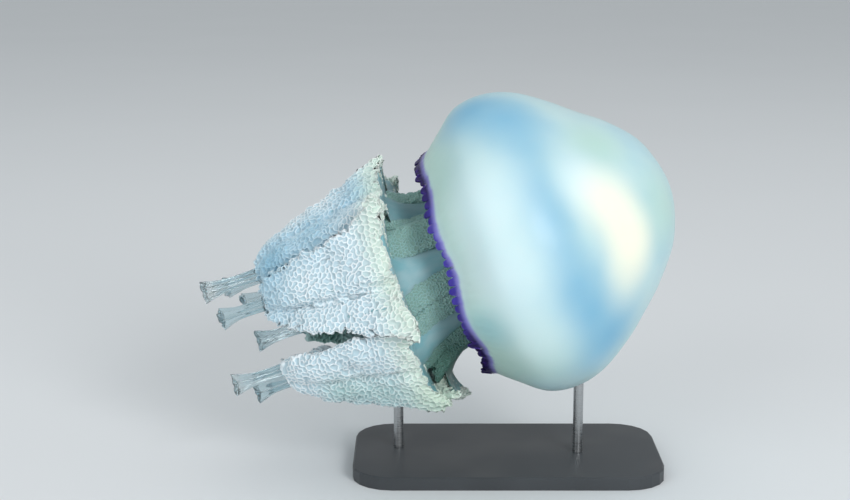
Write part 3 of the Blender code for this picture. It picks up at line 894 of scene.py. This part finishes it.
def frilled_shell(rows, cell, sizes, rng):
    """A closed shell of irregular open cells through rings."""
    bm = cell_net(triangle_net(rows, cell, rng))
    open_cells(bm, cell, sizes.opened, rng)
    cells = numbered_cells(bm)
    raise_ridges(bm, cell, sizes, rng)
    unwrap(bm, cells, max(sum(steps_round(curve)) for curve, _, _ in rows))
    for name in ("across", "edge"):
        bm.faces.layers.float.remove(bm.faces.layers.float[name])
    bm.faces.layers.int.remove(bm.faces.layers.int["cell"])
    return bm


def dual_group():
    """Geometry nodes that turn a net of triangles into its net of cells."""
    name = "cells_of_net"
    if name in bpy.data.node_groups:
        return bpy.data.node_groups[name]
    group = bpy.data.node_groups.new(name, "GeometryNodeTree")
    for way in ("INPUT", "OUTPUT"):
        group.interface.new_socket("Geometry", in_out=way, socket_type="NodeSocketGeometry")
    start = node(group, "NodeGroupInput")
    dual = node(group, "GeometryNodeDualMesh", {"Mesh": start.outputs[0]})
    node(group, "NodeGroupOutput", {0: dual.outputs[0]})
    return group


def ring_curve(index, outline, steps, height, rise=0.0, half=1.0):
    """(point, place) round a smooth ring through an arm's outline, in the animal's frame."""
    flat = closed_curve(outline, steps)
    ring = in_place(index, [risen(point, height, rise, half) for point, _ in flat])
    return [(point, place) for point, (_, place) in zip(ring, flat)]


def folded(curve, seed, fold):
    """Moves a ring's points, which are in the animal's frame, in broad soft folds."""
    points = [point for point, _ in curve]
    shift = Vector((seed * FOLD_SEED, 0, 0))
    made = []
    for number, (point, place) in enumerate(curve):
        along = points[(number + 1) % len(points)] - points[number - 1]
        out = Vector((along.y, -along.x, 0)).normalized()
        lump = sum(strength * noise.noise(point / size + shift) for size, strength in FOLD_SIZES)
        made.append((point + out * (fold * max(lump, DEEPEST_FOLD)), place))
    return made


def wing_edge(place):
    """How near a place on the wings' outline is to the edge of a wing, 0 to 1."""
    place = min(place, OUTLINE_SPANS - place)
    return max(0.0, *[1 - abs(place - middle) / reach for middle, reach in WING_EDGES])


def arm_rows(index, cell, fold):
    """Rings of the frill of one arm, from its lip over the shelf down to its closed end."""
    length = abs(ARM_END[index] - ARM_TOP[index])
    count = round(length * MM / (ROW_SPACING * cell))
    rows = []
    for row in range(-2, count + 2):
        share = min(max(row / count, 0.0), 1.0)
        outline, centre, height, rise, half = arm_station(index, share)
        hidden = row in (-2, count + 1)
        if hidden:
            size, over_lip, over_end = HIDDEN_RING
            outline = [centre + (Vector(point) - centre) * size for point in outline]
            height += over_lip if row < 0 else over_end
            rise = 0.0
        elif row == -1:
            around = core_ring(outline, LIP_INSET)
            outline = [around[round(place * CORE_POINTS / OUTLINE_SPANS) % CORE_POINTS]
                       for place in range(OUTLINE_SPANS)]
            height += LIP_RISE
        elif row == 0:
            height += LIP_EDGE * LIP_RISE
        curve = ring_curve(index, outline, CURVE_STEPS, height, rise, half)
        if not hidden:
            curve = folded(curve, index, fold * (LIP_FOLD if row < 0 else 1.0))
        weights = (0.0, 0.0) if hidden else (BORDER_WEIGHT if row == count else 0.0, 1.0)
        rows.append((curve, weights, (share * length + min(row, 0)) * MM))
    return rows


def scapulet_rows(index, side, cell):
    """Rings of one rounded crest against the side of an upper arm."""
    end = ARM_TOP[index] - SCAPULET_UNDER
    count = round((SCAPULET_TOP - end) * MM / (ROW_SPACING * cell))
    near_end, swell = SCAPULET_FULL
    rows = []
    for row in range(count + 1):
        share = row / count
        height = SCAPULET_TOP + (end - SCAPULET_TOP) * share
        _, outer, inner = smooth_at(SCAPULET_SIDE, share)
        outer -= side * SCAPULET_LIFT
        full = (1 - abs(2 * share - 1) ** near_end) ** swell
        full = SCAPULET_ENDS + (1 - SCAPULET_ENDS) * full
        room = arm_space(index, 0.5 * (inner + outer)) + SCAPULET_LAP[side > 0]
        far = min(SCAPULET_NEAR + SCAPULET_MAX, room)
        centre = Vector((0.5 * (inner + outer), SCAPULET_NEAR - SCAPULET_ROOT))
        reach = Vector((0.5 * (outer - inner), far - centre.y)) * full
        outline = []
        for step in range(SCAPULET_POINTS):
            turn = math.tau * step / SCAPULET_POINTS
            x, y = [math.copysign(abs(part) ** SCAPULET_CORNER, part)
                    for part in (math.cos(turn), math.sin(turn))]
            y *= reach.y if y > 0 else SCAPULET_BACK * full
            outline.append((centre.x + reach.x * x, side * (centre.y + y)))
        curve = ring_curve(index, outline[::side], SCAPULET_CURVE_STEPS, height)
        rows.append((folded(curve, index + SCAPULET_FOLD_SEED, SCAPULET_FOLD), (0.0, 0.0),
                     (SCAPULET_TOP - height) * MM))
    return rows


# ------------------------------------------------------------------ materials


def node(tree, kind, inputs=None, **settings):
    """Adds a node with its settings. An input is a value, a colour, or a socket to link from."""
    made = tree.nodes.new(kind)
    for name, value in settings.items():
        setattr(made, name, value)
    for name, value in (inputs or {}).items():
        socket = made.inputs[name]
        if isinstance(value, bpy.types.NodeSocket):
            tree.links.new(value, socket)
        else:
            socket.default_value = (*value, 1.0) if socket.type == "RGBA" else value
    return made


def new_material(name, on_animal):
    """A material with its nodes, its shader, and the place that its patterns follow."""
    surface = bpy.data.materials.new(name)
    surface.use_nodes = True
    tree = surface.node_tree
    if on_animal:
        place = node(tree, "ShaderNodeAttribute", attribute_name="animal_place").outputs["Vector"]
    else:
        place = node(tree, "ShaderNodeTexCoord").outputs["Object"]
    return surface, tree, tree.nodes["Principled BSDF"], place


def finish(tree, shader, colour, rough, bump=None, **constants):
    """Gives the shader a colour, the rest of its settings, and what follows a pattern.

    rough is (pattern, lowest, highest) and bump is (pattern, strength, distance).
    """
    pattern, lowest, highest = rough
    roughness = node(tree, "ShaderNodeMapRange", {
        "Value": pattern, "From Min": NOISE_SPAN[0], "From Max": NOISE_SPAN[1],
        "To Min": lowest, "To Max": highest}, interpolation_type="SMOOTHSTEP").outputs[0]
    tree.links.new(colour, shader.inputs["Base Color"])
    tree.links.new(roughness, shader.inputs["Roughness"])
    if bump:
        normal = node(tree, "ShaderNodeBump", dict(zip(("Height", "Strength", "Distance"), bump)))
        tree.links.new(normal.outputs["Normal"], shader.inputs["Normal"])
    for name, value in constants.items():
        shader.inputs[name.replace("_", " ")].default_value = value


def laid(tree, colour, tint, value, low, high, shares=(0.0, 1.0)):
    """Lays a tint over a colour, by a share that changes softly while a value goes low to high."""
    share = node(tree, "ShaderNodeMapRange", {
        "Value": value, "From Min": low, "From Max": high, "To Min": shares[0],
        "To Max": shares[1]}, interpolation_type="SMOOTHSTEP").outputs[0]
    return node(tree, "ShaderNodeMix", {0: share, 6: colour, 7: tint},
                data_type="RGBA").outputs[2]


def patched(tree, colour, place, tint, patches):
    """Lays a tint over a colour in soft patches: (centre on the animal, radius, strength)."""
    for centre, radius, strength in patches:
        away = node(tree, "ShaderNodeVectorMath", {0: place, 1: centre}, operation="DISTANCE")
        colour = laid(tree, colour, tint, away.outputs["Value"], 0.0, radius, (strength, 0.0))
    return colour


def shaded(colour, shares):
    """A colour of which only shares of the red, green and blue are left."""
    return [share * part for share, part in zip(shares, colour)]


def milky_jelly(colours):
    """Thick milky mesoglea, moulded smooth by growth: soft, light from within, softly wet."""
    surface, tree, shader, place = new_material("milky mesoglea", True)
    height = node(tree, "ShaderNodeAttribute", attribute_name="above_rim").outputs["Fac"]
    broad, fine, grain = [
        node(tree, "ShaderNodeTexNoise", {"Vector": place, "Scale": scale, "Detail": detail,
                                          "Roughness": rough}).outputs["Fac"]
        for scale, detail, rough in ((17.0, 2.0, 0.45), (75.0, 3.0, 0.55), (700.0, 2.0, 0.5))]
    colour = laid(tree, colours.milk, colours.thin_blue_and_shade, broad, 0.4, 0.72, (0.0, 0.22))
    colour = laid(tree, colour, colours.green, height, 0.004, 0.05, (0.8, 0.0))
    # The bell's patches: painted shade on its flanks, upper edge and rim, and a painted highlight
    # on its crown.
    for tint, patches in BELL_PATCHES:
        colour = patched(tree, colour, place, getattr(colours, tint), patches)

    # The pigment of the lappets, with a ragged border: a lilac blush, then lavender, then violet.
    ragged = node(tree, "ShaderNodeMath", {0: fine, 1: 0.006, 2: height},
                  operation="MULTIPLY_ADD").outputs[0]
    lilac = [0.35 * one + 0.65 * two for one, two in zip(colours.violet, colours.milk)]
    colour = laid(tree, colour, lilac, ragged, -0.004, 0.009, (0.6, 0.0))
    # The violet darkens at random and, away from the lit front, as painted shade.
    centre, radius = LAPPETS_LIT_FRONT
    away = node(tree, "ShaderNodeVectorMath", {0: place, 1: centre}, operation="DISTANCE")
    front = node(tree, "ShaderNodeMapRange", {
        "Value": away.outputs["Value"], "From Max": radius, "To Min": 1.0, "To Max": 0.0},
        interpolation_type="SMOOTHSTEP").outputs[0]
    shade_and_tone = node(tree, "ShaderNodeMath", {0: fine, 1: front}, operation="SUBTRACT").outputs[0]
    darkened = node(tree, "ShaderNodeMapRange", {"Value": shade_and_tone, "From Min": -0.35, "From Max": 0.4},
                 interpolation_type="SMOOTHSTEP").outputs[0]
    pigment = node(tree, "ShaderNodeMix", {0: darkened, 6: colours.violet, 7: colours.dark_violet},
                   data_type="RGBA").outputs[2]
    ragged = node(tree, "ShaderNodeMath", {0: darkened, 1: -0.003, 2: ragged},
                  operation="MULTIPLY_ADD").outputs[0]
    pigment = laid(tree, pigment, colours.lavender, ragged, -0.006, 0.0, (0.0, 0.85))
    colour = laid(tree, colour, pigment, ragged, -0.0015, 0.002, (1.0, 0.0))

    finish(tree, shader, colour, (broad, 0.34, 0.46), (grain, 0.12, 0.0004), IOR=JELLY_IOR,
           Subsurface_Weight=0.75, Subsurface_Radius=(0.8, 1.0, 1.0), Subsurface_Scale=0.012)
    return surface


def clear_jelly(name, base, olive, end, clearness):
    """Clear, firm mesoglea of the stalk, arms and clubs: bluish, half seen through, wet."""
    surface, tree, shader, place = new_material(name, True)
    streak = node(tree, "ShaderNodeMapping", {"Vector": place, "Scale": (60.0, 60.0, 14.0)})
    grain = node(tree, "ShaderNodeTexNoise", {"Vector": streak.outputs[0], "Scale": 1.0,
                                              "Detail": 3.0, "Roughness": 0.6}).outputs["Fac"]
    height = node(tree, "ShaderNodeSeparateXYZ", {0: place}).outputs["Z"]
    pale = [0.8 * one + 0.16 for one in base]
    colour = laid(tree, base, pale, grain, 0.36, 0.7)
    # Painted shade: darker on the stalk under the bell, olive on the upper arms.
    for tint, patches in (([0.4 * one for one in base], CLEAR_SHADE), (olive, CLEAR_OLIVE_SHADE)):
        colour = patched(tree, colour, place, tint, patches)
    colour = laid(tree, colour, end, height, *CLUB_TIPS, (0.0, 0.6))
    low = 0.46 - 0.4 * clearness
    finish(tree, shader, colour, (grain, low, low + 0.12), (grain, 0.12, 0.001), IOR=JELLY_IOR,
           Transmission_Weight=clearness, Subsurface_Weight=0.6 * (1 - clearness),
           Subsurface_Radius=(0.7, 1.0, 1.0), Subsurface_Scale=0.006)
    return surface


def frill_tissue(name, edge, floor, tip, tip_length, shades):
    """Thin folded tissue, opaque and matt: pale on its edges and shaded in its cells."""
    surface, tree, shader, place = new_material(name, True)
    ridge, down = [node(tree, "ShaderNodeAttribute", attribute_name=layer).outputs["Fac"]
                   for layer in ("ridge", "down")]
    soft, fine = [node(tree, "ShaderNodeTexNoise", {
        "Vector": place, "Scale": scale, "Detail": 2.0}).outputs["Fac"] for scale in (45.0, 420.0)]
    colour = laid(tree, floor, edge, ridge, 0.05, 0.9)
    colour = laid(tree, colour, floor, soft, 0.35, 0.7, (0.0, 0.35))
    # Painted shade, in patches.
    for tint, patches in shades:
        colour = patched(tree, colour, place, tint, patches)
    colour = laid(tree, colour, tip, down, 0.0, tip_length, (0.6, 0.0))
    finish(tree, shader, colour, (soft, 0.5, 0.62), (fine, 0.25, 0.0004), IOR=1.36,
           Subsurface_Weight=0.7, Subsurface_Radius=(0.9, 1.0, 1.0), Subsurface_Scale=0.003)
    return surface


def satin_paint(colour):
    """Satin powder coat on steel: even colour with a faint orange-peel skin."""
    surface, tree, shader, place = new_material("satin powder coat", False)
    peel, cloud = [node(tree, "ShaderNodeTexNoise", {
        "Vector": place, "Scale": scale, "Detail": detail}).outputs["Fac"]
        for scale, detail in ((900.0, 1.0), (12.0, 2.0))]
    dark = [0.82 * part for part in colour]
    tone = laid(tree, dark, colour, cloud, 0.3, 0.7)
    finish(tree, shader, tone, (cloud, 0.4, 0.5), (peel, 0.15, 0.0003))
    return surface


def brushed_steel(colour):
    """Stainless rod, ground round its length: grey metal with fine turned lines."""
    surface, tree, shader, place = new_material("brushed stainless steel", False)
    lines = node(tree, "ShaderNodeMapping", {"Vector": place, "Scale": (40.0, 40.0, 2500.0)})
    grain = node(tree, "ShaderNodeTexNoise", {"Vector": lines.outputs[0], "Scale": 1.0,
                                              "Detail": 2.0}).outputs["Fac"]
    dark = [0.75 * part for part in colour]
    tone = node(tree, "ShaderNodeMix", {0: grain, 6: dark, 7: colour}, data_type="RGBA")
    finish(tree, shader, tone.outputs[2], (grain, 0.24, 0.38), Metallic=1.0)
    return surface


def matt_floor(colour):
    """Matt painted board: a pale ground with hardly any pattern."""
    surface, tree, shader, place = new_material("matt painted board", False)
    cloud = node(tree, "ShaderNodeTexNoise", {"Vector": place, "Scale": 1.5,
                                              "Detail": 2.0}).outputs["Fac"]
    dark = [0.97 * part for part in colour]
    tone = node(tree, "ShaderNodeMix", {0: cloud, 6: dark, 7: colour}, data_type="RGBA")
    tree.links.new(tone.outputs[2], shader.inputs["Base Color"])
    shader.inputs["Roughness"].default_value = 0.85
    return surface


# ------------------------------------------------------------------ operators


def settled(bm, name, looks, slot, *nodes):
    """Carries a piece over the stand, on the model's one body and in place of its solids.

    Each vertex keeps its place in the animal's own frame, for the materials.
    """
    layer = bm.verts.layers.float_vector.new("animal_place")
    for vert in bm.verts:
        vert[layer] = vert.co
    bmesh.ops.transform(bm, matrix=POSE, verts=bm.verts[:])
    made = new_object(bm, name, looks)
    if not made.data.polygons:
        raise RuntimeError(f"{name} has no faces")
    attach(made, "root")
    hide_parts(*nodes)


class JELLYFISH_OT_flesh(bpy.types.Operator):
    """Builds the bell, lappets, stalk, arms and clubs as one skin"""

    bl_idname = "jellyfish.flesh"
    bl_label = "Flesh"

    def execute(self, context):
        sizes = context.scene.jellyfish_flesh
        arms = bmesh.new()
        for index in ARMS:
            arm_flesh(arms, index, sizes.coat_depth)
        bmesh.ops.recalc_face_normals(arms, faces=arms.faces[:])
        for face in arms.faces:
            face.material_index = CLEAR if face.calc_center_median().z > CLUBS_FROM else GLASSY
        bm = joined(spun_flesh(sizes), arms)
        keep_rim_level(bm, sizes.wave)
        looks = [milky_jelly(sizes)]
        for name, base, clearness in (("clear mesoglea", sizes.clear, 0.15),
                                      ("glassy mesoglea", sizes.glass, 0.92)):
            looks.append(clear_jelly(name, base, sizes.olive, sizes.club_end, clearness))
        settled(bm, "jellyfish_skin", looks, "milky_jelly", "bell", "bell_lappets", "stalk",
                *[f"{part}_{index + 1}" for part in ("upper_arm", "club") for index in ARMS])
        return {"FINISHED"}


class JELLYFISH_OT_frills(bpy.types.Operator):
    """Builds the frill of each of the eight arms"""

    bl_idname = "jellyfish.frills"
    bl_label = "Arm frills"

    def execute(self, context):
        sizes = context.scene.jellyfish_frills
        tissue = frill_tissue(
            "white frill tissue", sizes.white, sizes.shade, sizes.cream, ARM_TIPS,
            [(shaded(sizes.shade, shares), patches) for shares, patches in ARM_SHADE_PATCHES])
        for index in ARMS:
            rows = arm_rows(index, sizes.cell, sizes.fold)
            bm = frilled_shell(rows, sizes.cell, sizes, random.Random(ARM_SEED + index))
            settled(bm, f"arm_frill_{index + 1}", [tissue], "white_frill",
                    f"frilled_arm_{index + 1}")
        return {"FINISHED"}


class JELLYFISH_OT_scapulets(bpy.types.Operator):
    """Builds the pair of frilled crests on each arm's shoulder"""

    bl_idname = "jellyfish.scapulets"
    bl_label = "Scapulets"

    def execute(self, context):
        sizes = context.scene.jellyfish_frills
        # deep is the flesh's olive, laid on the crests as painted shade.
        dark, deep = shaded(sizes.olive, SCAPULET_DARK), context.scene.jellyfish_flesh.olive
        tissue = frill_tissue(
            "olive frill tissue", sizes.olive, dark, sizes.olive, SCAPULET_TIPS,
            [(tint, [patch]) for tint, patch in zip((deep, dark), SCAPULET_SHADE_PATCHES)])
        for index in ARMS:
            for side, letter in ((-1, "a"), (1, "b")):
                rows = scapulet_rows(index, side, sizes.scapulet_cell)
                rng = random.Random(SCAPULET_SEED + 2 * index + (side > 0))
                bm = frilled_shell(rows, sizes.scapulet_cell, sizes, rng)
                settled(bm, f"scapulet_frill_{index + 1}{letter}", [tissue], "olive_frill",
                        f"scapulet_{index + 1}{letter}")
        return {"FINISHED"}


class JELLYFISH_OT_stand(bpy.types.Operator):
    """Finishes the display stand's base and rods"""

    bl_idname = "jellyfish.stand"
    bl_label = "Display stand"

    def execute(self, context):
        colours = context.scene.jellyfish_stand
        paint, steel = satin_paint(colours.paint), brushed_steel(colours.steel)
        for name, surface in (("stand_base", paint), ("stand_rod_bell", steel),
                              ("stand_rod_arms", steel)):
            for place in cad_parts[name].material_slots:
                place.material = surface
        return {"FINISHED"}


class JELLYFISH_OT_stage(bpy.types.Operator):
    """Sets up the floor, the studio lights and the camera"""

    bl_idname = "jellyfish.stage"
    bl_label = "Studio"

    def execute(self, context):
        settings = context.scene.jellyfish_stage
        bm = bmesh.new()
        bmesh.ops.create_grid(bm, x_segments=1, y_segments=1, size=FLOOR_REACH)
        floor = new_object(bm, "studio_floor", [matt_floor(settings.floor)])

        for name, size, spot in LAMPS:
            lamp = bpy.data.lights.new(name, "AREA")
            lamp.energy = getattr(settings, name)
            lamp.size = size
            made = bpy.data.objects.new(name, lamp)
            made.location = spot
            aim = RIM_CENTRE - Vector(spot)
            made.rotation_euler = aim.to_track_quat("-Z", "Y").to_euler()
            context.scene.collection.objects.link(made)
        world = bpy.data.worlds.new("room")
        world.use_nodes = True
        sky = world.node_tree.nodes["Background"]
        sky.inputs["Color"].default_value = (*settings.room, 1.0)
        sky.inputs["Strength"].default_value = settings.sky
        context.scene.world = world
        context.scene.view_settings.view_transform = "Standard"

        down = math.radians(CAMERA_DROP)
        ahead = Vector((0, math.cos(down), -math.sin(down)))
        up = Vector((0, math.sin(down), math.cos(down)))
        camera = bpy.data.cameras.new("camera")
        camera.lens = settings.lens
        made = bpy.data.objects.new("camera", camera)
        spot = RIM_CENTRE - ahead * settings.distance + up * CAMERA_RISE
        spot.x -= CAMERA_LEFT
        turn = Matrix((Vector((1, 0, 0)), up, -ahead)).transposed().to_4x4()
        made.matrix_world = Matrix.Translation(spot) @ turn
        context.scene.collection.objects.link(made)
        context.scene.camera = made
        return {"FINISHED"}


class JELLYFISH_PT_parts(bpy.types.Panel):
    """Lists the jellyfish's pieces and their sizes"""

    bl_idname = "JELLYFISH_PT_parts"
    bl_label = "Barrel Jellyfish"
    bl_space_type = "VIEW_3D"
    bl_region_type = "UI"
    bl_category = "Jellyfish"

    def draw(self, context):
        scene = context.scene
        for operator, settings in (
                (JELLYFISH_OT_flesh, scene.jellyfish_flesh),
                (JELLYFISH_OT_frills, scene.jellyfish_frills),
                (JELLYFISH_OT_scapulets, None),
                (JELLYFISH_OT_stand, scene.jellyfish_stand),
                (JELLYFISH_OT_stage, scene.jellyfish_stage)):
            box = self.layout.box()
            box.operator(operator.bl_idname)
            for name in settings.__annotations__ if settings else ():
                box.prop(settings, name)


SETTINGS = {
    "jellyfish_flesh": JellyfishFleshSettings,
    "jellyfish_frills": JellyfishFrillSettings,
    "jellyfish_stand": JellyfishStandSettings,
    "jellyfish_stage": JellyfishStageSettings,
}
CLASSES = (*SETTINGS.values(), JELLYFISH_OT_flesh, JELLYFISH_OT_frills, JELLYFISH_OT_scapulets,
           JELLYFISH_OT_stand, JELLYFISH_OT_stage, JELLYFISH_PT_parts)


def register():
    for kind in CLASSES:
        bpy.utils.register_class(kind)
    for name, kind in SETTINGS.items():
        setattr(bpy.types.Scene, name, PointerProperty(type=kind))


def unregister():
    for name in SETTINGS:
        delattr(bpy.types.Scene, name)
    for kind in reversed(CLASSES):
        bpy.utils.unregister_class(kind)


def main():
    register()
    bpy.ops.jellyfish.flesh()
    bpy.ops.jellyfish.frills()
    bpy.ops.jellyfish.scapulets()
    bpy.ops.jellyfish.stand()
    bpy.ops.jellyfish.stage()


if __name__ == "__main__":
    main()
